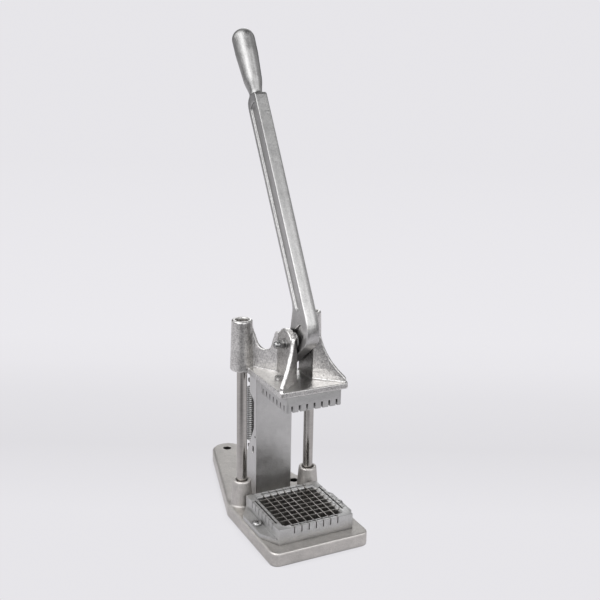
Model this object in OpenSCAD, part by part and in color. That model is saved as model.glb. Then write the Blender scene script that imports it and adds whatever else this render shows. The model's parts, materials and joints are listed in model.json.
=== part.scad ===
// French fry cutter: a lever drives a toothed pusher down two guide rods, through a grid of blades.
// X runs across, Y to the back, Z up. The origin is the middle of the base's underside.

/* [Base] */
// Length of the base, front edge to rounded rear end
base_len = 308; // [290:1:340]
// Width of the base
base_w = 127; // [124:1:150]
// Thickness of the base slab
base_t = 17; // [15:0.5:24]
// Rounding of the slab's upper and lower edges
base_edge = 3.5; // [1:0.5:5]
// Radius of the rounded rear end
base_tail_r = 22; // [18:1:30]
// From the front edge back to the middle of the blade grid
grid_setback = 64; // [60:1:72]
// Diameter of the three bench mounting holes
mount_hole_d = 11; // [6:0.5:12]
// Between the two side mounting holes
mount_spacing = 83; // [76:1:86]
// From the guide rods back to the side mounting holes
mount_setback = 30; // [26:1:36]
// From the rear end forward to the rear mounting hole
rear_hole_inset = 18.4; // [16:0.2:22]

/* [Blade grid] */
// Blades each way
blade_count = 7; // [5:1:7]
// Spacing of the blades
pitch = 9.525; // [8:0.025:9.8]
// Thickness of one blade
blade_t = 0.6; // [0.4:0.1:1]
// Depth of one blade between the frame's walls
blade_depth = 12.2; // [10:0.1:15]
// Depth of the slits that hold the blade ends
slit_depth = 8; // [6:0.5:9]
// Height of the blade frame above the base
frame_h = 19.4; // [18:0.2:26]
// Thickness of the frame's side walls
side_wall = 10.6; // [9:0.2:12]
// Thickness of the frame's front and rear walls
end_wall = 9.3; // [8:0.1:11]
// Thickness of the frame's left wing
left_wing_t = 6; // [6:0.5:12]
// Thickness of the frame's right wing
right_wing_t = 9; // [6:0.5:12]
// Diameter of the rods that lock the blades
lock_rod_d = 1.6; // [1.2:0.1:2]

/* [Guide rods] */
// Diameter of the guide rods
rod_d = 12.7; // [10:0.1:14]
// Distance between the guide rods
rod_spacing = 92; // [90:1:100]
// From the blade frame's rear wall back to the rods' axis
rod_gap = 19.4; // [18:0.2:26]
// Height of the rod bosses above the base
boss_h = 33; // [28:1:36]
// Diameter of the rod bosses at the top
boss_d = 22.5; // [21:0.5:25]
// Drop of the rods' tops below the tops of the sleeves
rod_inset = 5; // [1:0.5:8]

/* [Column] */
// Width of the column
column_w = 49.4; // [46:0.2:56]
// From the rods' axis back to the column's front face
column_set = 5.1; // [3:0.1:9]
// Thickness of the column's front plate
column_plate = 6.5; // [5:0.1:8]
// Thickness of the column's side flanges
flange_t = 4; // [3:0.1:4.5]
// Depth of the lugs at the column's top, front plate included
lug_depth = 20.8; // [19:0.2:26]
// Depth of the column's foot, front plate included
foot_depth = 34; // [32:0.5:44]

/* [Head] */
// Travel of the head down the rods
travel = 142; // [130:1:146]
// Width of the head's plate
plate_w = 87; // [84:0.5:90]
// Thickness of the head's plate
plate_t = 7.5; // [6:0.5:9]
// From the grid's middle to the plate's front edge
plate_front = 37.5; // [37:0.5:42]
// Height of a sleeve
sleeve_h = 63.3; // [50:0.5:70]
// Outer diameter of a sleeve at the top
sleeve_d = 25.4; // [24:0.2:28]
// Wall of the bronze bushes in the sleeves
bush_wall = 1.6; // [1.2:0.1:2]
// Thickness of the pivot ears
ear_t = 8; // [6:0.5:9]
// Thickness of the webs between the ears and the sleeves
web_t = 4.4; // [3.5:0.1:5]
// Thickness of the webs between the ears and the plate's front corners
front_web_t = 5; // [3.5:0.1:6]
// Width of the square pusher block
pusher_w = 71; // [68:0.5:72]
// Height of the pusher's teeth
tooth_h = 7.9; // [6:0.1:9]
// Width of the slots between the teeth
tooth_slot = 2.2; // [1.8:0.1:3]
// Reach of the teeth between the blades at full travel
tooth_reach = 4.2; // [2:0.2:5]

/* [Lever] */
// Length of the flat arm, from the pivot to its shoulder
arm_len = 297; // [240:1:330]
// Depth of the arm, front to back
arm_depth = 27.2; // [24:0.2:30]
// Width of the lever
lever_w = 16; // [14:0.5:17]
// Lean of the arm to the rear when the head is up
arm_lean = 31.2; // [28:0.2:34]
// Swing of the lever over the full travel
swing = 88; // [84:1:90]
// Diameter of the grip at its thickest
grip_d = 28; // [24:0.5:34]
// Length of the grip with its neck
grip_len = 87; // [75:1:100]
// Thickness of the tail that passes through the column
tail_t = 11; // [9:0.5:12]
// Slope of the tail below level when the head is up
tail_slope = 38; // [37.5:0.1:38.5]
// Diameter of the pivot bolt
pivot_d = 8; // [6:0.5:9]
// Diameter of the fulcrum pin
fulcrum_d = 7; // [6:0.5:7.5]
// Outer diameter of the fulcrum roller
roller_d = 10; // [9.4:0.1:10.4]

/* [Return springs] */
// Outer diameter of a spring
spring_d = 13.2; // [11:0.2:13.4]
// Diameter of the spring wire
spring_wire = 2.3; // [1.6:0.1:2.4]
// Distance between the two springs
spring_spacing = 27; // [26.8:0.1:27.4]

/* [Hidden] */
$fn = 64;

run_gap = 0.05;   // radial clearance of a shaft that turns or slides
set_gap = 0.03;   // radial clearance of a part that is held fast
slip = 0.3;       // gap between faces that pass each other
over = 1;         // how far a cutter runs past the faces it cuts

// blade grid
opening = (blade_count + 1) * pitch;
frame_x = opening / 2 + side_wall;
frame_y = opening / 2 + end_wall;
frame_top = base_t + frame_h;
blade_top = frame_top - 0.2;
wing_edge = base_w / 2 - 2;
wing_front = 22;
wing_rear = 27;
wing_w = wing_edge - frame_x;
wing_screw_x = frame_x + wing_w / 2;
wing_screw_d = 0.47 * wing_w;
wing_head_d = 0.94 * wing_w;
wing_screw_depth = 11;
lock_inset = 4.7;   // from the frame's outer faces in to the lock rods
lock_x = frame_x - lock_inset;
lock_y = frame_y - lock_inset;
lock_z = blade_top - 2.6;
lock_groove = lock_rod_d + 0.2;
middle = (blade_count - 1) / 2;
rows = [for (i = [0:blade_count - 1]) (i - middle) * pitch];

// guide rods and head heights
rod_x = rod_spacing / 2;
rod_y = frame_y + rod_gap;
boss_top = base_t + boss_h;
rod_seat = 8;
rod_floor = 6;
rod_screw_d = 6;
stop_gap = 1;
head_z = boss_top + stop_gap + travel;
plate_top = head_z + plate_t;
sleeve_z = head_z + 2;
sleeve_top = sleeve_z + sleeve_h;
rod_top = sleeve_top - rod_inset;
bush_r = rod_d / 2 + run_gap + bush_wall;
bush_len = 20;
bush_drop = 10;
pusher_z = blade_top + travel - tooth_reach;

// lever: the pivot rides on the head, the tail runs on a fixed fulcrum
pivot_y = 7.5;
pivot_z = head_z + 48.8;
ear_in = lever_w / 2 + 1.7;
ear_out = ear_in + ear_t;
ear_r = 17.6;
ear_shift = 1.5;
column_y = rod_y + column_set;
fulcrum_y = column_y + 10.1;
fulcrum_drop = 59;
fulcrum_z = pivot_z - fulcrum_drop;
hub_r = 17;
elbow_r = 26;
arm_front = 48;
tail_low = 16.7;
tail_end = 129;
tail_end_r = 10.5;
tail_taper = tail_low - tail_end_r - 1;

// column
slot_r = tail_t / 2 + 2;
column_top = fulcrum_z + 18;
tail_reach_y = column_y - pivot_y;
slot_z = min([for (i = [0:60]) tail_under(travel * i / 60)]) - 0.8 + sqrt(slot_r * slot_r - tail_t * tail_t / 4);
lug_bottom = fulcrum_z - 33;

// springs
spring_pin_d = 6;
spring_pin_y = pivot_y + tail_end * cos(tail_slope);
spring_pin_z = pivot_z - tail_end * sin(tail_slope);
spring_foot_z = base_t + 55.5;
spring_x = spring_spacing / 2;
spring_hook = spring_pin_d / 2 + spring_wire / 2 + 0.25;

// Height of the tail's underside at the column's front face, with the head s below its top
function tail_under(s) = let (slope = swing * s / travel - tail_slope, line = slope + atan(tail_taper / tail_end))
    pivot_z - s - tail_low * cos(slope) + (tail_reach_y - tail_low * sin(slope)) * tan(line);

function unit(v) = v / norm(v);
function turn(v, a) = [v.x * cos(a) - v.y * sin(a), v.x * sin(a) + v.y * cos(a)];
function bend(a, b, c) = sign((b.x - a.x) * (c.y - b.y) - (b.y - a.y) * (c.x - b.x));

// The corner b between a and c, as an arc of radius r
function arc(a, b, c, r, n = 8) = let (
    u = unit(a - b), v = unit(c - b), half = acos(u * v) / 2,
    centre = b + unit(u + v) * r / sin(half), start = b + u * r / tan(half) - centre)
    [for (i = [0:n]) centre + turn(start, bend(a, b, c) * (180 - 2 * half) * i / n)];

// Points of an outline given as [x, y, corner radius]
function outline(c) = let (n = len(c), at = function (i) [c[(i + n) % n].x, c[(i + n) % n].y])
    [for (i = [0:n - 1]) each c[i].z > 0 ? arc(at(i - 1), at(i), at(i + 1), c[i].z) : [at(i)]];

module rounded(corners) {
    polygon(outline(corners));
}

// An outline in Y and Z, w wide across X
module across(w, x = 0) {
    translate([x - w / 2, 0, 0]) rotate([90, 0, 90]) linear_extrude(w) children();
}

module both_sides() {
    children();
    mirror([1, 0, 0]) children();
}

// A rod along X
module cross_rod(d, len, y, z, x = 0) {
    translate([x - len / 2, y, z]) rotate([0, 90, 0]) cylinder(d = d, h = len);
}

// An upright wall t thick from plan point p to q, with its outline in distance and height
module wall(p, q, t, corners) {
    d = q - p;
    translate([p.x, p.y, 0]) rotate([90, 0, atan2(d.y, d.x)]) translate([0, 0, -t / 2])
        linear_extrude(t) rounded(corners);
}

// A socket screw pointing up, head_z the height of the head's seat
module socket_screw(d, len, head_d, head_h) {
    difference() {
        union() {
            cylinder(d = d, h = len);
            translate([0, 0, -head_h]) cylinder(d = head_d, h = head_h);
        }
        translate([0, 0, -head_h - over]) cylinder(d = head_d / 2, h = head_h * 0.6 + over, $fn = 6);
    }
}

// ---- base ----

module slab_puck(r, edge) {
    rotate_extrude($fn = 40) rounded([
        [0, 0, 0], [r, 0, edge / 3], [r, base_t, edge], [0, base_t, 0]]);
}

module rod_boss() {
    foot = boss_d / 2 + 2.2;
    fillet = 2.5;
    translate([rod_x, rod_y, 0]) rotate_extrude() rounded([
        [0, base_t - over, 0], [foot + fillet, base_t - over, 0], [foot + fillet, base_t + 0.01, 0],
        [foot, base_t + 0.01, fillet], [boss_d / 2 + 1.9, base_t + boss_h * 0.36, 3], [boss_d / 2, boss_top, 1.5],
        [boss_d / 2 - 3.5, boss_top, 0.4], [rod_d / 2 + 1.2, boss_top - 1.5, 0], [0, boss_top - 1.5, 0]]);
}

module base_plate() {
    front = -grid_setback;
    bend_y = rod_y + 3.2;
    tail_y = front + base_len - base_tail_r;
    color("lightgray") difference() {
        union() {
            hull() {
                both_sides() translate([base_w / 2 - 10, front + 10, 0]) slab_puck(10, base_edge / 2);
                both_sides() translate([base_w / 2 - 12, bend_y, 0]) slab_puck(12, base_edge);
                translate([0, tail_y, 0]) slab_puck(base_tail_r, base_edge);
            }
            both_sides() rod_boss();
        }
        // chip opening under the blades
        translate([-opening / 2, -opening / 2, -over]) cube([opening, opening, base_t + 2 * over]);
        both_sides() translate([rod_x, rod_y, 0]) {
            translate([0, 0, rod_seat + rod_floor]) cylinder(r = rod_d / 2 + set_gap, h = boss_top);
            cylinder(d = rod_screw_d + 0.6, h = boss_top);
            translate([0, 0, -over]) cylinder(d = rod_screw_head_d + 2, h = rod_seat + over);
        }
        both_sides() translate([mount_spacing / 2, rod_y + mount_setback, -over])
            cylinder(d = mount_hole_d, h = base_t + 2 * over);
        translate([0, front + base_len - rear_hole_inset, -over])
            cylinder(d = mount_hole_d, h = base_t + 2 * over);
        // column screws, from below
        both_sides() translate([column_screw_x, column_screw_y, -over]) {
            cylinder(d = column_screw_d + 1, h = base_t + 2 * over);
            cylinder(d = column_screw_head_d + 2, h = column_screw_seat + over);
        }
        // tapped holes for the blade frame's screws
        both_sides() translate([wing_screw_x, 0, base_t - wing_screw_depth])
            cylinder(d = wing_screw_d + 2 * set_gap, h = wing_screw_depth + over);
    }
}

// ---- guide rods ----

rod_screw_head_d = 10;
rod_screw_len = 18;

module guide_rod(side) {
    foot = rod_seat + rod_floor;
    color("silver") translate([side * rod_x, rod_y, foot + 0.02]) difference() {
        rotate_extrude() rounded([
            [0, 0, 0], [rod_d / 2, 0, 0.6], [rod_d / 2, rod_top - foot, 1.2], [0, rod_top - foot, 0]]);
        translate([0, 0, -over]) cylinder(d = rod_screw_d + 2 * set_gap, h = rod_screw_len - rod_floor + 4 + over);
    }
}

module guide_rod_left() {
    guide_rod(-1);
}

module guide_rod_right() {
    guide_rod(1);
}

module rod_screws() {
    color("dimgray") both_sides() translate([rod_x, rod_y, rod_seat])
        socket_screw(rod_screw_d, rod_screw_len, rod_screw_head_d, rod_screw_d);
}

// ---- column ----

column_screw_x = 12;
column_screw_y = column_y + 21;
column_screw_d = 8;
column_screw_head_d = 13;
column_screw_seat = 9;
column_foot_h = 14;
roll_pin_d = 3;
roll_pin_y = column_y + 3.4;
roll_pin_z = base_t + 81.8;
gusset_slot_z = base_t + 62.5;

module flange_outline() {
    y = column_y;
    rounded([
        [y, base_t, 0], [y + foot_depth, base_t, 0], [y + foot_depth - 2.6, base_t + 38, 10],
        [y + foot_depth - 8, base_t + 57, 10], [y + column_plate + 0.8, base_t + 92, 14],
        [y + column_plate + 0.8, lug_bottom - 4, 4], [y + lug_depth, lug_bottom + 5, 4],
        [y + lug_depth, column_top, 9], [y, column_top, 3]]);
}

module column() {
    rib_rear = spring_pin_y + 7;
    color("gainsboro") difference() {
        union() {
            // front plate
            translate([-column_w / 2, column_y, base_t]) cube([column_w, column_plate, column_top - base_t]);
            both_sides() across(flange_t, (column_w - flange_t) / 2) flange_outline();
            // foot block between the flanges
            translate([-column_w / 2, column_y, base_t])
                cube([column_w, foot_depth - 2.6, column_foot_h]);
            // rib that carries the springs' lower pin
            across(8) rounded([
                [column_y, base_t, 0], [rib_rear, base_t, 0], [rib_rear, spring_foot_z + 7, 6],
                [rib_rear - 14, spring_foot_z + 7, 6], [column_y, spring_foot_z + 30, 0]]);
        }
        // slot that the lever's tail passes through
        translate([0, column_y - over, slot_z]) rotate([-90, 0, 0]) cylinder(r = slot_r, h = lug_depth + 2 * over);
        translate([-slot_r, column_y - over, slot_z])
            cube([2 * slot_r, column_plate + 2 * over, column_top]);
        cross_rod(fulcrum_d + 2 * set_gap, column_w + 2 * over, fulcrum_y, fulcrum_z);
        cross_rod(spring_pin_d + 2 * set_gap, 20, spring_pin_y, spring_foot_z);
        // slots in the flanges and holes for the roll pins
        both_sides() across(flange_t + 2 * over, (column_w - flange_t) / 2)
            translate([column_y + 9.6, gusset_slot_z]) slot_outline(5, 10);
        both_sides() cross_rod(roll_pin_d + 2 * set_gap, 12, roll_pin_y, roll_pin_z, column_w / 2);
        both_sides() translate([column_screw_x, column_screw_y, base_t - over])
            cylinder(d = column_screw_d + 2 * set_gap, h = column_foot_h);
    }
}

module slot_outline(w, h) {
    square([w, h - w], center = true);
    for (s = [-1, 1]) translate([0, s * (h - w) / 2]) circle(d = w);
}

module column_screws() {
    color("dimgray") both_sides() translate([column_screw_x, column_screw_y, column_screw_seat])
        socket_screw(column_screw_d, base_t - column_screw_seat + 10, column_screw_head_d, column_screw_d);
}

module column_pins() {
    color("dimgray") both_sides() cross_rod(roll_pin_d, 5.9, roll_pin_y, roll_pin_z, column_w / 2 - 3);
}

// ---- blade grid ----

slit = blade_t + 0.8;

module blade_frame() {
    color("lightgray") difference() {
        union() {
            translate([-frame_x, -frame_y, base_t]) cube([2 * frame_x, 2 * frame_y, frame_h]);
            for (side = [-1, 1]) translate([0, 0, base_t]) linear_extrude(wing_top(side)) scale([side, 1]) rounded([
                [frame_x - over, frame_y, 0], [wing_edge, wing_rear, 3], [wing_edge, -wing_front, 3],
                [frame_x - over, -frame_y, 0]]);
        }
        translate([-opening / 2, -opening / 2, base_t - over]) cube([opening, opening, frame_h + 2 * over]);
        for (a = rows) {
            translate([a - slit / 2, -frame_y - over, frame_top - slit_depth])
                cube([slit, 2 * (frame_y + over), slit_depth + over]);
            translate([-frame_x - over, a - slit / 2, frame_top - slit_depth])
                cube([2 * (frame_x + over), slit, slit_depth + over]);
        }
        // bevel round the top of the opening
        for (q = [0:90:270]) rotate(q) translate([opening / 2, 0, frame_top])
            rotate([0, 45, 0]) cube([3, opening, 3], center = true);
        // grooves for the lock rods
        low = lock_z - lock_groove / 2;
        both_sides() translate([lock_x - lock_groove / 2, -lock_len / 2, low])
            cube([lock_groove, lock_len, frame_top]);
        for (s = [-1, 1]) translate([-lock_len / 2, s * lock_y - lock_groove / 2, low])
            cube([lock_len, lock_groove, frame_top]);
        both_sides() translate([wing_screw_x, 0, base_t - over])
            cylinder(d = wing_screw_d + 0.6, h = right_wing_t + left_wing_t);
    }
}

lock_len = (blade_count - 1) * pitch + 5;

function wing_top(side) = side < 0 ? left_wing_t : right_wing_t;

module blade_frame_screws() {
    head_h = 0.3 * wing_head_d;
    color("gray") for (side = [-1, 1]) translate([side * wing_screw_x, 0, base_t + wing_top(side)]) difference() {
        union() {
            rotate_extrude() rounded([
                [0, 0, 0], [wing_head_d / 2, 0, 0.3], [wing_head_d / 2, head_h, head_h * 0.9], [0, head_h, 0]]);
            translate([0, 0, 1 - wing_top(side) - wing_screw_depth])
                cylinder(d = wing_screw_d, h = wing_top(side) + wing_screw_depth);
        }
        translate([0, 0, head_h * 0.4]) cylinder(d = wing_screw_d * 0.7, h = head_h, $fn = 6);
    }
}

// One blade along Y; its ends are shallow, and its notches face down or up for the crossing blades
module blade(half, lock, up) {
    inner = opening / 2 - 0.4;
    top = blade_top;
    end_low = frame_top - slit_depth + 0.2;
    low = top - blade_depth;
    mid = (top + low) / 2;
    difference() {
        translate([-blade_t / 2, 0, 0]) rotate([90, 0, 90]) linear_extrude(blade_t) polygon([
            [-half, top], [-half, end_low], [-inner, end_low], [-inner, low],
            [inner, low], [inner, end_low], [half, end_low], [half, top]]);
        for (a = rows) translate([0, a, up ? top : low])
            cube([2, blade_t + 0.1, 2 * (top - mid) + 0.1], center = true);
        // notches for the lock rods
        for (s = [-1, 1]) translate([0, s * lock, top])
            cube([2, lock_rod_d + 0.3, 2 * (top - lock_z) + lock_rod_d + 0.2], center = true);
    }
}

module blades_lengthwise() {
    color("silver") for (a = rows) translate([a, 0, 0]) blade(frame_y - 1.2, lock_y, false);
}

module blades_crosswise() {
    color("silver") for (a = rows) translate([0, a, 0]) rotate(-90) blade(frame_x - 1.2, lock_x, true);
}

module blade_lock_rods() {
    len = lock_len - 0.6;
    color("dimgray") {
        both_sides() translate([lock_x, len / 2, lock_z]) rotate([90, 0, 0]) cylinder(d = lock_rod_d, h = len);
        for (s = [-1, 1]) cross_rod(lock_rod_d, len, s * lock_y, lock_z);
    }
}

// ---- head ----

ear_y = pivot_y + ear_shift;
notch_y = ear_y + 23;
web_foot = [ear_out - 4.5, ear_y + ear_r - 1];
web_end = [rod_x - 9, rod_y - 5.8];
front_web_end = [plate_w / 2 - 2, 4.2 - plate_front];

module ear() {
    across(ear_t + over, ear_in + (ear_t - over) / 2) rounded([
        [ear_y - ear_r, head_z + 2, 0], [ear_y + ear_r, head_z + 2, 0],
        [ear_y + ear_r, pivot_z + ear_r, ear_r - 0.1], [ear_y - ear_r, pivot_z + ear_r, ear_r - 0.1]]);
}

// Web from the ear's rear edge to the sleeve, with a U in its top
module rear_web() {
    run = norm(web_end - web_foot);
    dip = sleeve_top - 33;
    wall(web_foot, web_end, web_t, [
        [-2, head_z + 2, 0], [run, head_z + 2, 0], [run, sleeve_top - 5, 0], [run - 12, dip, 12.5],
        [15.5, dip, 8], [8, pivot_z + 8.5, 4], [-2, pivot_z + 9, 0]]);
}

// Web from the ear's front edge to the plate's front corner, hollowed along its top
module front_web() {
    start = [(ear_in + ear_out) / 2 - 0.8, ear_y - ear_r];
    run = norm(front_web_end - start);
    wall(start, front_web_end, front_web_t, [
        [-8, head_z + 2, 0], [run, head_z + 2, 0], [run, plate_top + 4.5, 0],
        [run - 22.5, pivot_z - 16, 80], [6.3, pivot_z + 12, 3], [-8, pivot_z + 14, 0]]);
}

module sleeve() {
    low = sleeve_d / 2 + 1.8;
    rim = 1.5;
    rotate_extrude() polygon([
        [0, sleeve_z], [low - rim, sleeve_z], [low, sleeve_z + rim],
        [sleeve_d / 2, sleeve_top - rim], [sleeve_d / 2 - rim, sleeve_top], [0, sleeve_top]]);
}

module head_casting() {
    color("silver") difference() {
        union() {
            translate([0, 0, head_z]) linear_extrude(plate_t) rounded([
                [plate_w / 2, -plate_front, 4], [plate_w / 2, rod_y - 5, 0], [web_end.x - 1.4, rod_y - 2.5, 0],
                [ear_out - 3.6, notch_y, 2], [3.6 - ear_out, notch_y, 2], [1.4 - web_end.x, rod_y - 2.5, 0],
                [-plate_w / 2, rod_y - 5, 0], [-plate_w / 2, -plate_front, 4]]);
            both_sides() {
                ear();
                rear_web();
                front_web();
                translate([rod_x, rod_y, 0]) sleeve();
            }
        }
        // room for the lever between the ears
        translate([-ear_in, ear_y - 2 * ear_r, plate_top]) cube([2 * ear_in, 4 * ear_r, 4 * ear_r]);
        // sleeve bores and the bush seats
        both_sides() translate([rod_x, rod_y, head_z - over])
            cylinder(r = bush_r + set_gap, h = sleeve_top - head_z + 2 * over);
        // way for the lever's tail
        translate([-ear_in, notch_y, head_z - over]) cube([2 * ear_in, 60, plate_t + 2 * over]);
        cross_rod(pivot_d + 2 * set_gap, 4 * ear_out, pivot_y, pivot_z);
        both_sides() translate([pusher_screw_x, pusher_screw_y, head_z - over])
            cylinder(d = pusher_screw_d + 0.4, h = plate_t + 2 * over);
    }
}

pusher_screw_x = 25.8;
pusher_screw_y = 5.4;
pusher_screw_d = 6;
pusher_screw_grip = 7;

module sleeve_bushes() {
    color("peru") both_sides() for (z = [sleeve_z, sleeve_top - bush_drop - bush_len])
        translate([rod_x, rod_y, z]) difference() {
            cylinder(r = bush_r, h = bush_len);
            translate([0, 0, -over]) cylinder(r = rod_d / 2 + run_gap, h = bush_len + 2 * over);
        }
}

module pusher_block() {
    half = pusher_w / 2;
    color("lightgray") difference() {
        translate([0, 0, pusher_z]) linear_extrude(head_z - pusher_z) rounded([
            [half, -half, 3], [half, half, 3], [-half, half, 3], [-half, -half, 3]]);
        for (a = rows) {
            translate([a - tooth_slot / 2, -half - over, pusher_z - over])
                cube([tooth_slot, pusher_w + 2 * over, tooth_h + over]);
            translate([-half - over, a - tooth_slot / 2, pusher_z - over])
                cube([pusher_w + 2 * over, tooth_slot, tooth_h + over]);
        }
        both_sides() translate([pusher_screw_x, pusher_screw_y, pusher_z + tooth_h + 2])
            cylinder(d = pusher_screw_d + 2 * set_gap, h = head_z);
    }
}

module pusher_screws() {
    color("gray") both_sides() translate([pusher_screw_x, pusher_screw_y, plate_top])
        mirror([0, 0, 1]) socket_screw(pusher_screw_d, plate_t + pusher_screw_grip, 10, 3.4);
}

// ---- lever ----

// Points given in front of and along the leaning arm, or along and above the sloping tail
function on_arm(front, along) = turn([-front, along], -arm_lean);
function on_tail(along, above) = turn([along, above], -tail_slope);
// Where the line through p at angle a meets the line through q at angle b
function meet(p, a, q, b) = let (d = q - p, k = (d.x * sin(b) - d.y * cos(b)) / sin(b - a))
    p + k * [cos(a), sin(a)];
function corner(p, r) = [p.x, p.y, r];

// Side outline of the whole lever about its pivot: flat arm, elbow, hub and tail
module lever_outline() {
    rear = arm_front - arm_depth;
    elbow = meet(on_arm(arm_front, 0), 90 - arm_lean, on_tail(0, -tail_low), -tail_slope);
    rounded([
        corner(elbow, elbow_r), corner(on_tail(tail_end, tail_taper - tail_low), 0),
        corner(on_tail(tail_end, tail_end_r), 8), corner(on_tail(tail_end - 24, hub_r), 10),
        corner(on_tail(-4, hub_r), 8), corner(on_arm(rear, 38), 20), corner(on_arm(rear, arm_len), 12),
        corner(on_arm(arm_front, arm_len), 5)]);
    translate(on_tail(tail_end, 0)) circle(r = tail_end_r);
}

// Window in the tail: the path of the fulcrum past the lever, as wide as the roller
module window_outline() {
    steps = 12;
    hull() for (i = [0:steps]) {
        s = i / steps;
        at = turn([fulcrum_y - pivot_y, s * travel - fulcrum_drop], -swing * s);
        translate(at) circle(r = roller_d / 2 + 0.4);
    }
}

module grip() {
    r = grip_d / 2;
    rotate_extrude() rounded([
        [0, -8, 0], [r * 0.57, -8, 0], [r * 0.57, 4, 10], [r * 0.8, grip_len * 0.2, 40], [r * 0.99, grip_len * 0.62, 60],
        [r * 1.02, grip_len, r * 0.93], [0, grip_len, 0]]);
}

module lever() {
    recess = 3;
    rear = arm_front - arm_depth;
    color("silver") translate([0, pivot_y, pivot_z]) difference() {
        union() {
            across(tail_t) lever_outline();
            across(lever_w) intersection() {
                lever_outline();
                rotate(-tail_slope) translate([42 - 2 * arm_len, -arm_len]) square([2 * arm_len, 3 * arm_len]);
            }
            rotate([-arm_lean, 0, 0]) translate([0, -(arm_front + rear) / 2, arm_len]) grip();
        }
        // long recess in both sides of the arm
        both_sides() across(recess + over, lever_w / 2 - recess + (recess + over) / 2) rotate(-arm_lean)
            rounded([
                [-arm_front + 5, 30, 6], [-arm_front + 5, arm_len - 10, 6],
                [-rear - 6, arm_len - 12, 6], [-rear - 6, 30, 6]]);
        // pocket between the elbow and the hub
        both_sides() across(recess + over, lever_w / 2 - recess + (recess + over) / 2) difference() {
            rounded([[-20, 29, 6], [-28.5, 17, 7], [-10, -7, 3], [-1, 14, 3]]);
            circle(r = hub_r - 5);
        }
        across(lever_w + 2 * over) window_outline();
        cross_rod(pivot_d + 2 * bush_wall + 2 * set_gap, lever_w + 2 * over, 0, 0);
        cross_rod(spring_pin_d + 2 * set_gap, lever_w, spring_pin_y - pivot_y, spring_pin_z - pivot_z);
    }
}

module lever_bush() {
    color("peru") difference() {
        cross_rod(pivot_d + 2 * bush_wall, lever_w + 2, pivot_y, pivot_z);
        cross_rod(pivot_d + 2 * run_gap, lever_w + 4, pivot_y, pivot_z);
    }
}

washer_t = 1.6;
washer_d = 13;

thread_d = pivot_d - 2;
thread_len = 8;

module pivot_bolt() {
    head_h = 5.5;
    grip_l = 2 * (ear_out + washer_t);
    color("silver") translate([ear_out + washer_t, pivot_y, pivot_z]) rotate([0, -90, 0]) difference() {
        union() {
            cylinder(d = pivot_d, h = grip_l);
            cylinder(d = thread_d, h = grip_l + thread_len);
            translate([0, 0, -head_h]) cylinder(d = washer_d, h = head_h);
        }
        translate([0, 0, -head_h - over]) cylinder(d = 6, h = 3 + over, $fn = 6);
    }
}

module pivot_washers() {
    color("gray") both_sides() difference() {
        cross_rod(washer_d, washer_t, pivot_y, pivot_z, ear_out + washer_t / 2);
        cross_rod(pivot_d + 2 * run_gap, washer_t + 2, pivot_y, pivot_z, ear_out + washer_t / 2);
    }
}

module pivot_nut() {
    color("silver") translate([-ear_out - washer_t, pivot_y, pivot_z]) rotate([0, -90, 0]) difference() {
        union() {
            cylinder(d = 11, h = 6.5, $fn = 6);
            rotate_extrude() rounded([[0, 0, 0], [4.6, 0, 0], [4.6, 13, 4.4], [0, 13, 0]]);
        }
        translate([0, 0, -over]) cylinder(d = thread_d + 2 * set_gap, h = thread_len + 0.6 + over);
    }
}

// ---- fulcrum ----

clip_t = 1;

module fulcrum_pin() {
    color("silver") cross_rod(fulcrum_d, column_w + 2 * (clip_t + over), fulcrum_y, fulcrum_z);
}

module fulcrum_roller() {
    color("peru") difference() {
        cross_rod(roller_d, tail_t + 3, fulcrum_y, fulcrum_z);
        cross_rod(fulcrum_d + 2 * run_gap, tail_t + 5, fulcrum_y, fulcrum_z);
    }
}

module fulcrum_clips() {
    color("dimgray") both_sides() difference() {
        cross_rod(fulcrum_d + 4, clip_t, fulcrum_y, fulcrum_z, column_w / 2 + clip_t / 2);
        cross_rod(fulcrum_d + 2 * set_gap, clip_t + 2, fulcrum_y, fulcrum_z, column_w / 2 + clip_t / 2);
    }
}

// ---- return springs ----

spring_r = (spring_d - spring_wire) / 2;
coil_low = spring_foot_z + spring_hook + 4;
coil_high = spring_pin_z - spring_hook - 4;
coil_turns = floor((coil_high - coil_low) / (spring_wire + 0.25));
coil_steps = 12;
hook_steps = 10;

// Centre line of a spring: a hook round the lower pin, the close coils, a hook round the upper pin
hook_arc = [for (i = [0:hook_steps]) let (a = 230 - 230 * i / hook_steps) spring_hook * [cos(a), sin(a)]];
spring_path = concat(
    [for (p = hook_arc) [0, p.x, spring_foot_z - p.y]],
    [[0, spring_r * 0.9, coil_low - 1.4]],
    [for (i = [0:coil_turns * coil_steps]) let (a = 90 + 360 * i / coil_steps)
        [spring_r * cos(a), spring_r * sin(a), coil_low + (coil_high - coil_low) * i / (coil_turns * coil_steps)]],
    [[0, spring_r * 0.9, coil_high + 1.4]],
    [for (i = [hook_steps:-1:0]) let (p = hook_arc[i]) [0, p.x, spring_pin_z + p.y]]);

function heading(path, i) = unit(path[min(i + 1, len(path) - 1)] - path[max(i - 1, 0)]);
function square_to(v, t) = unit(v - (v * t) * t);

// A round wire swept along a path, as rings carried from point to point without a twist
module wire(path, d, sides = 6) {
    n = len(path);
    normals = [for (i = 0, v = square_to([1, 0, 0], heading(path, 0)); i < n;
        i = i + 1, v = i < n ? square_to(v, heading(path, i)) : v) v];
    points = [for (i = [0:n - 1]) let (v = normals[i], w = cross(heading(path, i), v))
        for (k = [0:sides - 1]) path[i] + d / 2 * (cos(360 * k / sides) * v + sin(360 * k / sides) * w)];
    polyhedron(points, concat(
        [[for (k = [0:sides - 1]) k]],
        [for (i = [0:n - 2], k = [0:sides - 1]) let (a = i * sides + k, b = i * sides + (k + 1) % sides)
            [a, a + sides, b + sides, b]],
        [[for (k = [sides - 1:-1:0]) (n - 1) * sides + k]]), convexity = 10);
}

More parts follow.
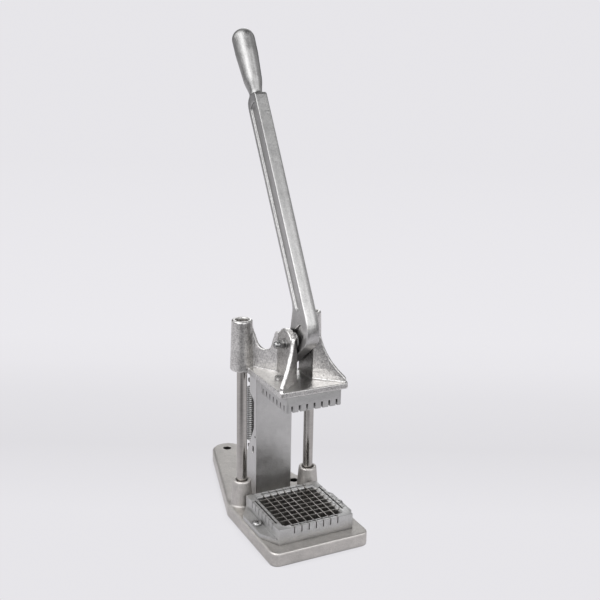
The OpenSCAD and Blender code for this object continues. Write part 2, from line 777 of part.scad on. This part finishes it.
module return_spring(side) {
    color("gray") translate([side * spring_x, spring_pin_y, 0]) wire(spring_path, spring_wire);
}

module return_spring_left() {
    return_spring(-1);
}

module return_spring_right() {
    return_spring(1);
}

module spring_top_pin() {
    color("dimgray") cross_rod(spring_pin_d, spring_spacing + 2 * spring_wire + 5, spring_pin_y, spring_pin_z);
}

module spring_bottom_pin() {
    color("dimgray") cross_rod(spring_pin_d, spring_spacing + 2 * spring_wire + 5, spring_pin_y, spring_foot_z);
}

// Everything is drawn about the blade grid's middle, then set on the base's own middle
module placed() {
    translate([0, grid_setback - base_len / 2, 0]) children();
}

placed() base_plate();
placed() column();
placed() column_screws();
placed() column_pins();
placed() guide_rod_left();
placed() guide_rod_right();
placed() rod_screws();
placed() blade_frame();
placed() blade_frame_screws();
placed() blades_lengthwise();
placed() blades_crosswise();
placed() blade_lock_rods();
placed() head_casting();
placed() sleeve_bushes();
placed() pusher_block();
placed() pusher_screws();
placed() lever();
placed() lever_bush();
placed() pivot_bolt();
placed() pivot_washers();
placed() pivot_nut();
placed() fulcrum_pin();
placed() fulcrum_roller();
placed() fulcrum_clips();
placed() return_spring_left();
placed() return_spring_right();
placed() spring_top_pin();
placed() spring_bottom_pin();
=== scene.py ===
import json
import math

import bmesh
import bpy
from mathutils import Matrix, Vector


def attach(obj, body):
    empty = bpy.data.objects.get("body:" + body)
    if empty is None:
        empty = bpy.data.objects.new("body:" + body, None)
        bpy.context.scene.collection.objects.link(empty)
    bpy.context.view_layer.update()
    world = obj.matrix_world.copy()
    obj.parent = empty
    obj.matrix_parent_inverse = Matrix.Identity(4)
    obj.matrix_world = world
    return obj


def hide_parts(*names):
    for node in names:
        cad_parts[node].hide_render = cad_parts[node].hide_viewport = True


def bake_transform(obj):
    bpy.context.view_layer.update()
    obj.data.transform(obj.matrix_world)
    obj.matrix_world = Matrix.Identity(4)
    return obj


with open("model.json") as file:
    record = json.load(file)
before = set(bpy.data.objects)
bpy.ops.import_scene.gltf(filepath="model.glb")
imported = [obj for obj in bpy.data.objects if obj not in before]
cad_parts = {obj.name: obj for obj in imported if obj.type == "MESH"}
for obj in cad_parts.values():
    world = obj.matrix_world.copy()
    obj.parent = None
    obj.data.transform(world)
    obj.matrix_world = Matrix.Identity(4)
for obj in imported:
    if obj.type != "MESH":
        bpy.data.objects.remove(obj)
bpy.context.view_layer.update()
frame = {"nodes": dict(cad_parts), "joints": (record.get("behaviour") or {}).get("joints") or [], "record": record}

# French fry cutter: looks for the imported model. Metres, +Z up, front of the base towards -Y.

nodes = frame["nodes"]
record = frame["record"]
joints = {joint["name"]: joint for joint in frame["joints"]}
bodyOf = {node: body for body, held in record["behaviour"]["bodies"].items() for node in held}
mm = 0.001


def linked(name, data):
    item = bpy.data.objects.new(name, data)
    bpy.context.scene.collection.objects.link(item)
    return item


def meshFrom(bm, name):
    mesh = bpy.data.meshes.new(name)
    bm.to_mesh(mesh)
    bm.free()
    return mesh


cameraSet = {
    "position": (-0.4871, -1.0463, 0.6035),
    "target": (-0.0021, -0.0879, 0.2942),
    "roll": math.radians(1.074),
    "focalPixels": 979.66,
    "pictureWidth": 600,     # pixels
    "sensor": 36.0,          # millimetres
    "clipEnd": 50,
}


def addCamera(look):
    camera = linked("camera", bpy.data.cameras.new("camera"))
    camera.data.sensor_width = look["sensor"]
    camera.data.lens = look["focalPixels"] / look["pictureWidth"] * look["sensor"]
    camera.data.clip_end = look["clipEnd"]
    aim = Vector(look["target"]) - Vector(look["position"])
    turn = aim.to_track_quat("-Z", "Y").to_matrix() @ Matrix.Rotation(look["roll"], 3, "Z")
    camera.matrix_world = Matrix.Translation(look["position"]) @ turn.to_4x4()
    bpy.context.scene.camera = camera


addCamera(cameraSet)
print("camera set")


class Signal:
    # one output socket; sums and products of signals add their Math nodes
    def __init__(self, tree, socket):
        self.tree = tree
        self.socket = socket

    def maths(self, operation, first, second):
        return self.tree.add("Math", {"operation": operation}, {0: first, 1: second})

    def __add__(self, other):
        return self.maths("ADD", self, other)

    __radd__ = __add__

    def __sub__(self, other):
        return self.maths("SUBTRACT", self, other)

    def __rsub__(self, other):
        return self.maths("SUBTRACT", other, self)

    def __mul__(self, other):
        return self.maths("MULTIPLY", self, other)

    __rmul__ = __mul__

    def __pow__(self, other):
        return self.maths("POWER", self, other)

    def atLeast(self, other):
        return self.maths("MAXIMUM", self, other)

    def between(self, low, high):
        # 0 up to low, 1 from high on
        return self.tree.add("MapRange", {"clamp": True}, {"Value": self, "From Min": low, "From Max": high})


class Tree:
    # a node tree that grows through one method
    def __init__(self, owner, coordinates):
        owner.use_nodes = True
        self.owner = owner
        self.place = self.add("TexCoord", {}, {}, coordinates)

    def add(self, kind, settings, inputs, output=0):
        node = self.owner.node_tree.nodes.new("ShaderNode" + kind)
        for name, value in settings.items():
            setattr(node, name, value)
        for name, value in inputs.items():
            self.give(node.inputs[name], value)
        return Signal(self, node.outputs[output])

    def give(self, socket, value):
        if isinstance(value, Signal):
            self.owner.node_tree.links.new(value.socket, socket)
        else:
            socket.default_value = value

    def measure(self, operation, first, second):
        # a number from two vectors
        return self.add("VectorMath", {"operation": operation}, {0: first, 1: second}, "Value")

    def axis(self, name, vector):
        return self.add("SeparateXYZ", {}, {"Vector": vector}, name)


class Finish(Tree):
    # one material on the object's own coordinates
    def __init__(self, name):
        super().__init__(bpy.data.materials.new(name), "Object")

    def set(self, **inputs):
        shader = self.owner.node_tree.nodes["Principled BSDF"]
        for name, value in inputs.items():
            self.give(shader.inputs[name.replace("_", " ")], value)

    def noise(self, size, detail, roughness, stretch=(1, 1, 1)):
        at = self.add("Mapping", {}, {"Vector": self.place, "Scale": stretch})
        return self.add("TexNoise", {}, {
            "Vector": at, "Scale": 1 / size, "Detail": detail, "Roughness": roughness}, "Fac")

    def pits(self, size):
        return self.add("TexVoronoi", {"feature": "F1"}, {
            "Vector": self.place, "Scale": 1 / size, "Randomness": 1.0}, "Distance")

    def openness(self, reach, samples=6):
        # 1 in the open, less in corners and hollows
        return self.add("AmbientOcclusion", {"samples": samples}, {"Distance": reach}, "AO")

    def blend(self, amount, first, second):
        return self.add("Mix", {"data_type": "RGBA"}, {0: amount, 6: first, 7: second}, 2)

    def bump(self, height, depth, under=None):
        inputs = {"Height": height, "Strength": 1.0, "Distance": depth}
        if under:
            inputs["Normal"] = under
        return self.add("Bump", {}, inputs)


def grey(tone, warmth=0.0):
    return (tone * (1 + warmth), tone, tone * (1 - warmth), 1)


# wear and painted shade that all the castings share; the ranges are those over which a mask goes from 0 to 1
castWearAndShade = {
    "grainRange": (0.34, 0.66), "mottleRange": (0.3, 0.7), "dirtRange": (0.35, 0.65),
    "dirtSize": 2.7,                 # in mottle sizes
    "pitSize": 3.1,                  # in grain sizes
    "pitRange": (0.0, 0.32),
    "pitDepth": 0.6,                 # in grain depths
    "edgeRange": (0.505, 0.56),      # pointiness of the edges that are rubbed
    "nookRange": (0.42, 0.495),      # and of the nooks that get painted shade
    "nookTone": 0.6,                 # this and the two tones below are shares of the dark tone
    # painted shade: hollows, corners and gaps between parts are darkened by ambient occlusion
    "paintedShadeReach": 9 * mm, "paintedShadeRange": (0.0, 0.62), "paintedShadeTone": 0.22,
    "holeShadeRange": (5.4 * mm, 5.9 * mm), "holeShadeTone": 0.12,
    "sheenUpRange": (0.8, 0.97),          # how far up a face must point to get the painted sheen
    "heightShadeAmount": 0.32, "heightShadeTone": 0.1,
    "mottleRough": 0.18, "grainRough": 0.16, "rubRough": 0.08,
}


def castAluminium(name, look, wearAndShade):
    # tumbled casting: fine grain, soft mottling, small pits, edges rubbed bright; painted shade in hollows, nooks
    # and listed holes, a painted sheen on top faces, and painted shade towards the top where the look asks
    finish = Finish(name)
    warmth = look["warmth"]
    grain = finish.noise(look["grain"], detail=2.0, roughness=0.6)
    mottle = finish.noise(look["mottle"], detail=4.0, roughness=0.6)
    dirt = finish.noise(look["mottle"] * wearAndShade["dirtSize"], detail=3.0, roughness=0.5)
    pits = finish.pits(look["grain"] * wearAndShade["pitSize"]).between(*wearAndShade["pitRange"])
    point = finish.add("NewGeometry", {}, {}, "Pointiness")
    rub = point.between(*wearAndShade["edgeRange"]) * look["rub"]
    # painted shade in concave nooks and creases
    nook = (1 - point.between(*wearAndShade["nookRange"])) * look["soil"]
    # painted shade: the colour darkens in hollows and under other parts
    clear = finish.openness(wearAndShade["paintedShadeReach"]).between(*wearAndShade["paintedShadeRange"])
    level = (grain.between(*wearAndShade["grainRange"]) * look["grainTone"]
             + mottle.between(*wearAndShade["mottleRange"]) * look["mottleTone"]
             + dirt.between(*wearAndShade["dirtRange"]) * look["dirtTone"])
    tone = level.between(0.0, look["grainTone"] + look["mottleTone"] + look["dirtTone"])
    colour = finish.blend(tone, grey(look["dark"], warmth), grey(look["light"], warmth))
    colour = finish.blend(rub, colour, grey(look["edge"], warmth))
    colour = finish.blend(nook, colour, grey(look["dark"] * wearAndShade["nookTone"], warmth))
    colour = finish.blend(clear, grey(look["dark"] * wearAndShade["paintedShadeTone"], warmth), colour)
    # painted shade: the lever darkens towards the top
    if "heightShade" in look:
        heightShade = finish.axis("Z", finish.place).between(*look["heightShade"])
        colour = finish.blend(heightShade * wearAndShade["heightShadeAmount"], colour, grey(wearAndShade["heightShadeTone"]))
    # painted sheen: faces that point up take the lighter tone of the rubbed edges
    if "topRub" in look:
        normal = finish.add("NewGeometry", {}, {}, "Normal")
        up = finish.axis("Z", normal).between(*wearAndShade["sheenUpRange"])
        colour = finish.blend(up * look["topRub"], colour, grey(look["edge"], warmth))
    # painted shade inside the listed holes of the base
    if "holes" in look:
        flat = finish.add("VectorMath", {"operation": "MULTIPLY"}, {0: finish.place, 1: (1, 1, 0)})
        for at in look["holes"]:
            outside = finish.measure("DISTANCE", flat, (*at, 0)).between(*wearAndShade["holeShadeRange"])
            colour = finish.blend(outside, grey(look["dark"] * wearAndShade["holeShadeTone"], warmth), colour)
    wave = finish.bump(mottle, look["waveDepth"])
    pitted = finish.bump(pits, look["grainDepth"] * wearAndShade["pitDepth"], wave)
    finish.set(
        Base_Color=colour, Metallic=1.0,
        Roughness=(look["roughness"] + (mottle - 0.5) * wearAndShade["mottleRough"]
                   + (grain - 0.5) * wearAndShade["grainRough"] - rub * wearAndShade["rubRough"]),
        Normal=finish.bump(grain, look["grainDepth"], pitted))
    return finish.owner


castLooks = {
    "castBase": {
        "dark": 0.36, "light": 0.61, "edge": 0.87, "warmth": 0.042, "roughness": 0.48,
        "rub": 0.6, "soil": 0.5, "grainTone": 0.85, "mottleTone": 0.6, "dirtTone": 0.4,
        "grain": 1.4 * mm, "grainDepth": 0.16 * mm, "mottle": 9 * mm, "waveDepth": 0.5 * mm,
        # centres of the holes whose linings get painted shade
        "holes": ((-41.5 * mm, 6.8 * mm), (41.5 * mm, 6.8 * mm), (0, 135.6 * mm))},
    "castHead": {
        "dark": 0.31, "light": 0.80, "edge": 0.92, "warmth": 0.02, "roughness": 0.32,
        "rub": 0.35, "soil": 0.6, "grainTone": 1.0, "mottleTone": 0.4, "dirtTone": 0.3,
        "grain": 1.9 * mm, "grainDepth": 0.24 * mm, "mottle": 5 * mm, "waveDepth": 0.45 * mm,
        "topRub": 0.5},
    "castLever": {
        "dark": 0.33, "light": 0.62, "edge": 0.64, "warmth": 0.012, "roughness": 0.38,
        "rub": 0.8, "soil": 0.6, "grainTone": 0.8, "mottleTone": 0.5, "dirtTone": 0.4,
        "grain": 1.6 * mm, "grainDepth": 0.14 * mm, "mottle": 11 * mm, "waveDepth": 0.3 * mm,
        "heightShade": (0.29, 0.45)},   # heights between which the painted shade grows towards the top
    "castFrame": {
        "dark": 0.27, "light": 0.56, "edge": 0.61, "warmth": 0.008, "roughness": 0.48,
        "rub": 0.5, "soil": 0.3, "grainTone": 0.9, "mottleTone": 0.5, "dirtTone": 0.3,
        "grain": 1.6 * mm, "grainDepth": 0.16 * mm, "mottle": 8 * mm, "waveDepth": 0.3 * mm},
    "castPusher": {
        "dark": 0.27, "light": 0.50, "edge": 0.61, "warmth": 0.008, "roughness": 0.52,
        "rub": 0.5, "soil": 0.3, "grainTone": 0.6, "mottleTone": 0.5, "dirtTone": 0.3,
        "grain": 1.3 * mm, "grainDepth": 0.09 * mm, "mottle": 8 * mm, "waveDepth": 0.3 * mm},
    "castColumn": {
        "dark": 0.44, "light": 0.62, "edge": 0.83, "warmth": 0.01, "roughness": 0.34,
        "rub": 0.5, "soil": 0.3, "grainTone": 0.6, "mottleTone": 0.7, "dirtTone": 0.5,
        "grain": 1.2 * mm, "grainDepth": 0.05 * mm, "mottle": 10 * mm, "waveDepth": 0.25 * mm},
}

steelWearAndShade = {"toneRange": (0.3, 0.7), "paintedShadeRange": (0.1, 0.7), "paintedShadeTone": 0.15, "lineRough": 0.5}


def turnedSteel(name, look, wearAndShade):
    # ground or plated steel: fine lines across one axis, faint stains, and painted shade in hollows where the look
    # asks for it
    finish = Finish(name)
    warmth = look["warmth"]
    lines = finish.noise(look["line"], detail=2.0, roughness=0.5, stretch=look.get("stretch", (1, 1, 1)))
    stain = finish.noise(look["stain"], detail=3.0, roughness=0.55)
    tone = (lines * 0.5 + stain * 0.5).between(*wearAndShade["toneRange"])
    colour = finish.blend(tone, grey(look["dark"], warmth), grey(look["light"], warmth))
    # painted shade: the colour darkens in hollows, such as between the blades
    if "paintedShadeReach" in look:
        clear = finish.openness(look["paintedShadeReach"]).between(*wearAndShade["paintedShadeRange"])
        colour = finish.blend(clear, grey(look["dark"] * wearAndShade["paintedShadeTone"], warmth), colour)
    rough = look["roughChange"]
    finish.set(
        Base_Color=colour, Metallic=1.0,
        Roughness=look["roughness"] + (stain - 0.5) * rough + (lines - 0.5) * (rough * wearAndShade["lineRough"]),
        Normal=finish.bump(lines, look["depth"]))
    return finish.owner


steelLooks = {
    "rodSteel": {
        "dark": 0.36, "light": 0.45, "warmth": 0.045, "roughness": 0.13, "roughChange": 0.06,
        "line": 1.6 * mm, "stretch": (0.25, 0.25, 1), "stain": 12 * mm, "depth": 0.01 * mm},
    "platedSteel": {
        "dark": 0.26, "light": 0.46, "warmth": 0.01, "roughness": 0.28, "roughChange": 0.16,
        "line": 0.5 * mm, "stain": 3 * mm, "depth": 0.03 * mm},
    "brightSteel": {
        "dark": 0.20, "light": 0.40, "warmth": 0.01, "roughness": 0.20, "roughChange": 0.10,
        "line": 0.5 * mm, "stain": 2 * mm, "depth": 0.03 * mm},
    "dullSteel": {
        "dark": 0.18, "light": 0.38, "warmth": 0.01, "roughness": 0.36, "roughChange": 0.12,
        "line": 0.5 * mm, "stain": 3 * mm, "depth": 0.03 * mm},
    "darkSteel": {
        "dark": 0.08, "light": 0.2, "warmth": 0.02, "roughness": 0.38, "roughChange": 0.2,
        "line": 0.6 * mm, "stain": 4 * mm, "depth": 0.04 * mm},
    "bladeSteel": {
        "dark": 0.40, "light": 0.60, "warmth": 0.05, "roughness": 0.34, "roughChange": 0.12,
        "line": 0.4 * mm, "stretch": (1, 1, 0.15), "stain": 6 * mm, "depth": 0.02 * mm,
        # reach of the painted shade between the blades
        "paintedShadeReach": 10 * mm},
    "springSteel": {
        "dark": 0.20, "light": 0.36, "warmth": 0.01, "roughness": 0.28, "roughChange": 0.14,
        "line": 0.6 * mm, "stain": 4 * mm, "depth": 0.02 * mm},
    "bronze": {
        "dark": 0.22, "light": 0.42, "warmth": 0.34, "roughness": 0.34, "roughChange": 0.2,
        "line": 0.5 * mm, "stain": 3 * mm, "depth": 0.04 * mm},
}

materials = {name: castAluminium(name, look, castWearAndShade) for name, look in castLooks.items()}
materials.update({name: turnedSteel(name, look, steelWearAndShade) for name, look in steelLooks.items()})
print("finishes made:", len(materials))


stageSet = {
    "paper": (0.835, 0.825, 0.856),   # the white where the floor is brightest
    "plain": 0.955,                   # how bright the rest of the floor and the backdrop are beside it
    "lightColour": (0.985, 0.99, 1.0, 1),
    "viewWay": (0.4516, 0.8922, 0),   # from the front to the backdrop
    "band": (-0.03, 0.165, 0.52),     # a soft painted shadow band on the floor behind the part: near edge, middle, far edge
    "shadowBandDark": 0.07,
    "glow": (0.36, 0.66, 3.0),        # and a painted pool of light beyond it
    "lightPoolLevel": 0.035,
    "floorSize": 6.0,
    # painted contact shadow: the floor's glow darkens near the part
    "contactReach": 0.10,             # how far from the part the floor darkens
    "contactRange": (0.05, 0.60),     # openness at which the floor is darkest and fully lit
    "contactCurve": 0.6,
    "contactDark": 0.02,
    "dimSpot": (-0.30, -0.42, 0),     # around here the floor that the part reflects is darker
    "dimRange": (0.42, 0.12),         # distances from the spot where that starts and is full
    "dimLevel": 0.38,
    "frontRange": (-0.45, -0.9),      # and it fades towards the front
    "frontLevel": 0.1,
}

# soft lights far away, as lobes of the sky: bearing from the front and height in degrees, strength, sharpness
lobeSet = {
    "front": (0, 8, 1.3, 14),
    "frontHigh": (-4, 38, 3.2, 45),
    "rightFrontLow": (34, 8, 0.6, 14),
    "rightFrontHigh": (40, 34, 2.9, 26),
    "right": (95, 20, 0.7, 10),
    "rightBackLow": (152, 15, 3.3, 110),
    "rightBackHigh": (155, 38, 0.9, 14),
    "leftFrontLow": (-58, 14, 1.3, 20),
    "leftFront": (-60, 38, 3.6, 14),
    "left": (215, 10, 0.35, 14),
    "leftBack": (240, 38, 2.1, 14),
    "leftHigh": (270, 65, 2.4, 14),
}


def addWorld(look, lobes):
    world = bpy.data.worlds.new("studio")
    bpy.context.scene.world = world
    sky = Tree(world, "Generated")
    total = 0.0
    for bearing, height, strength, sharpness in lobes.values():
        turn, lift = math.radians(bearing), math.radians(height)
        direction = (math.sin(turn) * math.cos(lift), -math.cos(turn) * math.cos(lift), math.sin(lift))
        facing = sky.measure("DOT_PRODUCT", sky.place, direction).atLeast(0.0)
        total = total + facing ** sharpness * strength
    backdrop = (*[tone * look["plain"] for tone in look["paper"]], 1)
    light = sky.add("Background", {}, {"Color": look["lightColour"], "Strength": total})
    shown = sky.add("Background", {}, {"Color": backdrop})
    seen = sky.add("LightPath", {}, {}, "Is Camera Ray")
    both = sky.add("MixShader", {}, {0: seen, 1: light, 2: shown})
    sky.give(world.node_tree.nodes["World Output"].inputs["Surface"], both)


def addFloor(look):
    finish = Finish("floorPaper")
    # painted contact shadow on the glowing floor
    openness = finish.openness(look["contactReach"], 8).between(*look["contactRange"])
    contactShadow = openness ** look["contactCurve"] * (1 - look["contactDark"]) + look["contactDark"]
    away = finish.measure("DISTANCE", finish.place, look["dimSpot"])
    dim = away.between(*look["dimRange"]) * (1 - look["dimLevel"])
    fade = finish.axis("Y", finish.place).between(*look["frontRange"]) * (1 - look["frontLevel"])
    unseen = 1 - finish.add("LightPath", {}, {}, "Is Camera Ray")
    depth = finish.measure("DOT_PRODUCT", finish.place, look["viewWay"])
    # a painted shadow band and a painted pool of light on the floor
    bands = []
    for start, middle, end in (look["band"], look["glow"]):
        bands.append(depth.between(start, middle) * (1 - depth.between(middle, end)))
    lit = look["plain"] - bands[0] * look["shadowBandDark"] + bands[1] * look["lightPoolLevel"]
    level = contactShadow * (1 - dim.atLeast(fade) * unseen) * lit
    finish.set(Base_Color=(0, 0, 0, 1), Specular_IOR_Level=0.0, Roughness=1.0, Emission_Strength=1.0,
               Emission_Color=finish.blend(level, (0, 0, 0, 1), (*look["paper"], 1)))
    bm = bmesh.new()
    bmesh.ops.create_grid(bm, x_segments=1, y_segments=1, size=look["floorSize"])
    mesh = meshFrom(bm, "floor")
    mesh.materials.append(finish.owner)
    linked("floor", mesh)


addWorld(stageSet, lobeSet)
addFloor(stageSet)
bpy.context.scene.view_settings.view_transform = "Standard"
print("floor and light set")


def solidOf(node):
    # the node's solid, whose loose triangles are joined
    bm = bmesh.new()
    bm.from_mesh(nodes[node].data)
    bmesh.ops.remove_doubles(bm, verts=bm.verts, dist=0.002 * mm)
    return bm


def newPiece(name, mesh, finish):
    piece = linked(name, mesh)
    mesh.materials.clear()
    mesh.materials.append(materials[finish])
    return piece


# castings: the voxel sets how fine the skin is, and smooth how often its corners are softened
castingSet = {
    "base_plate": {"piece": "basePlate", "finish": "castBase", "voxel": 1.05 * mm, "smooth": 1},
    "head_casting": {"piece": "headCasting", "finish": "castHead", "voxel": 0.85 * mm, "smooth": 4},
    "lever": {
        "piece": "leverCasting", "finish": "castLever", "voxel": 0.8 * mm, "smooth": 6,
        "crown": (2.6 * mm, 0.5 * mm, 250 * mm),   # at the elbow, at the top, and how far apart they are
        "crownStart": -18 * mm, "crownGrows": 20 * mm,
        "lean": math.radians(31.2), "middle": 34.4 * mm, "halfDepth": 13.6 * mm, "halfWidth": 8 * mm},
    "column": {"piece": "columnCasting", "finish": "castColumn", "voxel": 0.9 * mm, "smooth": 1},
}


def share(value):
    return min(1, max(0, value))


def crownArm(bm, look):
    # the arm's front face bulges: its edges lie behind its middle line
    pivot = Vector(joints["lever_pivot"]["pos_m"])
    along = Vector((0, math.sin(look["lean"]), math.cos(look["lean"])))
    front = Vector((0, -math.cos(look["lean"]), math.sin(look["lean"])))
    low, high, reach = look["crown"]
    for vert in bm.verts:
        offset = vert.co - pivot
        depth = offset.dot(front) - look["middle"]
        height = offset.dot(along)
        fade = share((height - look["crownStart"]) / look["crownGrows"]) * share(depth / look["halfDepth"])
        bulge = low + (high - low) * share(height / reach)
        vert.co -= front * bulge * fade * (offset.x / look["halfWidth"]) ** 2


def skinOver(bm, look):
    # one even skin over a solid
    draft = linked(look["piece"] + "Draft", meshFrom(bm, look["piece"]))
    skin = draft.modifiers.new("skin", "REMESH")
    skin.mode = "VOXEL"
    skin.voxel_size = look["voxel"]
    skin.use_smooth_shade = True
    shown = draft.evaluated_get(bpy.context.evaluated_depsgraph_get())
    mesh = bpy.data.meshes.new_from_object(shown)
    bpy.data.objects.remove(draft)
    return mesh


def castingFrom(node, look):
    # the skin is smoothed, so that its edges and corners are rounded as a casting's are
    mesh = skinOver(solidOf(node), look)
    bm = bmesh.new()
    bm.from_mesh(mesh)
    if "crown" in look:
        crownArm(bm, look)
    for step in range(look["smooth"]):
        bmesh.ops.smooth_vert(
            bm, verts=bm.verts, factor=0.5, use_axis_x=True, use_axis_y=True, use_axis_z=True)
    for face in bm.faces:
        face.smooth = True
    bm.to_mesh(mesh)
    bm.free()
    piece = newPiece(look["piece"], mesh, look["finish"])
    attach(piece, bodyOf[node])
    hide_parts(node)
    print("casting", look["piece"], len(mesh.polygons), "faces")


for castingNode, castingLook in castingSet.items():
    castingFrom(castingNode, castingLook)


# turned, machined and bought parts: their edges are broken by the bevel's width
dressSet = {
    "column_screws": {"finish": "platedSteel", "bevel": 0.25 * mm},
    "column_pins": {"finish": "darkSteel", "bevel": 0.2 * mm},
    "rod_screws": {"finish": "platedSteel", "bevel": 0.25 * mm},
    "guide_rod_left": {"finish": "rodSteel", "bevel": 0.4 * mm},
    "guide_rod_right": {"finish": "rodSteel", "bevel": 0.4 * mm},
    "blade_frame": {"finish": "castFrame", "bevel": 0.45 * mm},
    "blade_frame_screws": {"finish": "platedSteel", "bevel": 0.3 * mm},
    "blades_lengthwise": {"finish": "bladeSteel", "bevel": 0},
    "blades_crosswise": {"finish": "bladeSteel", "bevel": 0},
    "blade_lock_rods": {"finish": "platedSteel", "bevel": 0},
    "sleeve_bushes": {"finish": "bronze", "bevel": 0.15 * mm},
    "pusher_block": {"finish": "castPusher", "bevel": 0.45 * mm},
    "pusher_screws": {"finish": "platedSteel", "bevel": 0.25 * mm},
    "lever_bush": {"finish": "bronze", "bevel": 0.15 * mm},
    "pivot_bolt": {"finish": "platedSteel", "bevel": 0.3 * mm},
    "pivot_washers": {"finish": "dullSteel", "bevel": 0.2 * mm},
    "pivot_nut": {"finish": "brightSteel", "bevel": 0.3 * mm},
    "fulcrum_pin": {"finish": "rodSteel", "bevel": 0.3 * mm},
    "fulcrum_roller": {"finish": "bronze", "bevel": 0.3 * mm},
    "fulcrum_clips": {"finish": "darkSteel", "bevel": 0.1 * mm},
    "spring_top_pin": {"finish": "darkSteel", "bevel": 0.3 * mm},
    "spring_bottom_pin": {"finish": "darkSteel", "bevel": 0.3 * mm},
}
flatBelow = math.radians(0.5)    # faces that turn by less than this are one flat face
sharpFrom = math.radians(32)     # an edge that turns by more than this is a real edge


def breakEdges(bm, width):
    bmesh.ops.dissolve_limit(bm, angle_limit=flatBelow, verts=bm.verts, edges=bm.edges)
    edges = [edge for edge in bm.edges if edge.is_manifold and edge.calc_face_angle() > sharpFrom]
    bmesh.ops.bevel(bm, geom=edges, offset=width, offset_type="OFFSET", segments=2, profile=0.5,
                    affect="EDGES", clamp_overlap=True)


def shadeByAngle(bm):
    for face in bm.faces:
        face.smooth = True
    for edge in bm.edges:
        edge.smooth = edge.is_manifold and edge.calc_face_angle() < sharpFrom


def pieceName(node):
    first, *rest = node.split("_")
    return first + "".join(word.capitalize() for word in rest)


def dressedFrom(node, look):
    bm = solidOf(node)
    if look["bevel"]:
        breakEdges(bm, look["bevel"])
    shadeByAngle(bm)
    name = pieceName(node)
    piece = newPiece(name, meshFrom(bm, name), look["finish"])
    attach(piece, bodyOf[node])
    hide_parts(node)


for dressNode, dressLook in dressSet.items():
    dressedFrom(dressNode, dressLook)
print("parts dressed:", len(dressSet))


springSet = {
    "x": 13.5 * mm, "y": 19.15 * mm, "footZ": 72.5 * mm, "topZ": 162.4 * mm,
    "coilRadius": 5.45 * mm, "wire": 2.3 * mm, "coilLow": 80.9 * mm, "coilHigh": 154.0 * mm,
    "hookRadius": 4.4 * mm, "hookTurn": 230,        # degrees round each pin
    "leadRadius": 0.9, "leadLength": 1.4 * mm,      # where the wire leaves the coils, in coil radii
    "turns": 28, "stepsInTurn": 20, "hookSteps": 16, "sides": 10,
}


def springPath(look):
    # hook round the lower pin, close coils, hook round the upper pin
    radius = look["coilRadius"]
    hook = []
    for step in range(look["hookSteps"] + 1):
        angle = math.radians(look["hookTurn"] * (1 - step / look["hookSteps"]))
        hook.append((look["hookRadius"] * math.cos(angle), look["hookRadius"] * math.sin(angle)))
    points = [Vector((0, y, look["footZ"] - z)) for y, z in hook]
    lead = radius * look["leadRadius"]
    points.append(Vector((0, lead, look["coilLow"] - look["leadLength"])))
    steps = look["turns"] * look["stepsInTurn"]
    for step in range(steps + 1):
        angle = math.pi / 2 + math.tau * step / look["stepsInTurn"]
        height = look["coilLow"] + (look["coilHigh"] - look["coilLow"]) * step / steps
        points.append(Vector((radius * math.cos(angle), radius * math.sin(angle), height)))
    points.append(Vector((0, lead, look["coilHigh"] + look["leadLength"])))
    points.extend(Vector((0, y, look["topZ"] + z)) for y, z in reversed(hook))
    return points


def wireAlong(bm, points, radius, sides):
    across = Vector((1, 0, 0))
    rings = []
    for index, point in enumerate(points):
        ahead = points[min(index + 1, len(points) - 1)] - points[max(index - 1, 0)]
        ahead.normalize()
        across = (across - ahead * across.dot(ahead)).normalized()
        other = ahead.cross(across)
        ring = []
        for side in range(sides):
            angle = math.tau * side / sides
            ring.append(bm.verts.new(point + (across * math.cos(angle) + other * math.sin(angle)) * radius))
        rings.append(ring)
    for low, high in zip(rings, rings[1:]):
        for side in range(sides):
            after = (side + 1) % sides
            bm.faces.new((low[side], low[after], high[after], high[side])).smooth = True
    bm.faces.new(list(reversed(rings[0])))
    bm.faces.new(rings[-1])


def addSpring(name, node, side, look):
    at = (side * look["x"], look["y"])
    bm = bmesh.new()
    wireAlong(bm, springPath(look), look["wire"] / 2, look["sides"])
    bmesh.ops.translate(bm, verts=bm.verts, vec=Vector((*at, 0)))
    bmesh.ops.recalc_face_normals(bm, faces=bm.faces)
    piece = newPiece(name, meshFrom(bm, name), "springSteel")
    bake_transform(piece)
    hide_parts(node)


addSpring("springLeft", "return_spring_left", -1, springSet)
addSpring("springRight", "return_spring_right", 1, springSet)
print("springs wound:", springSet["turns"], "turns each")
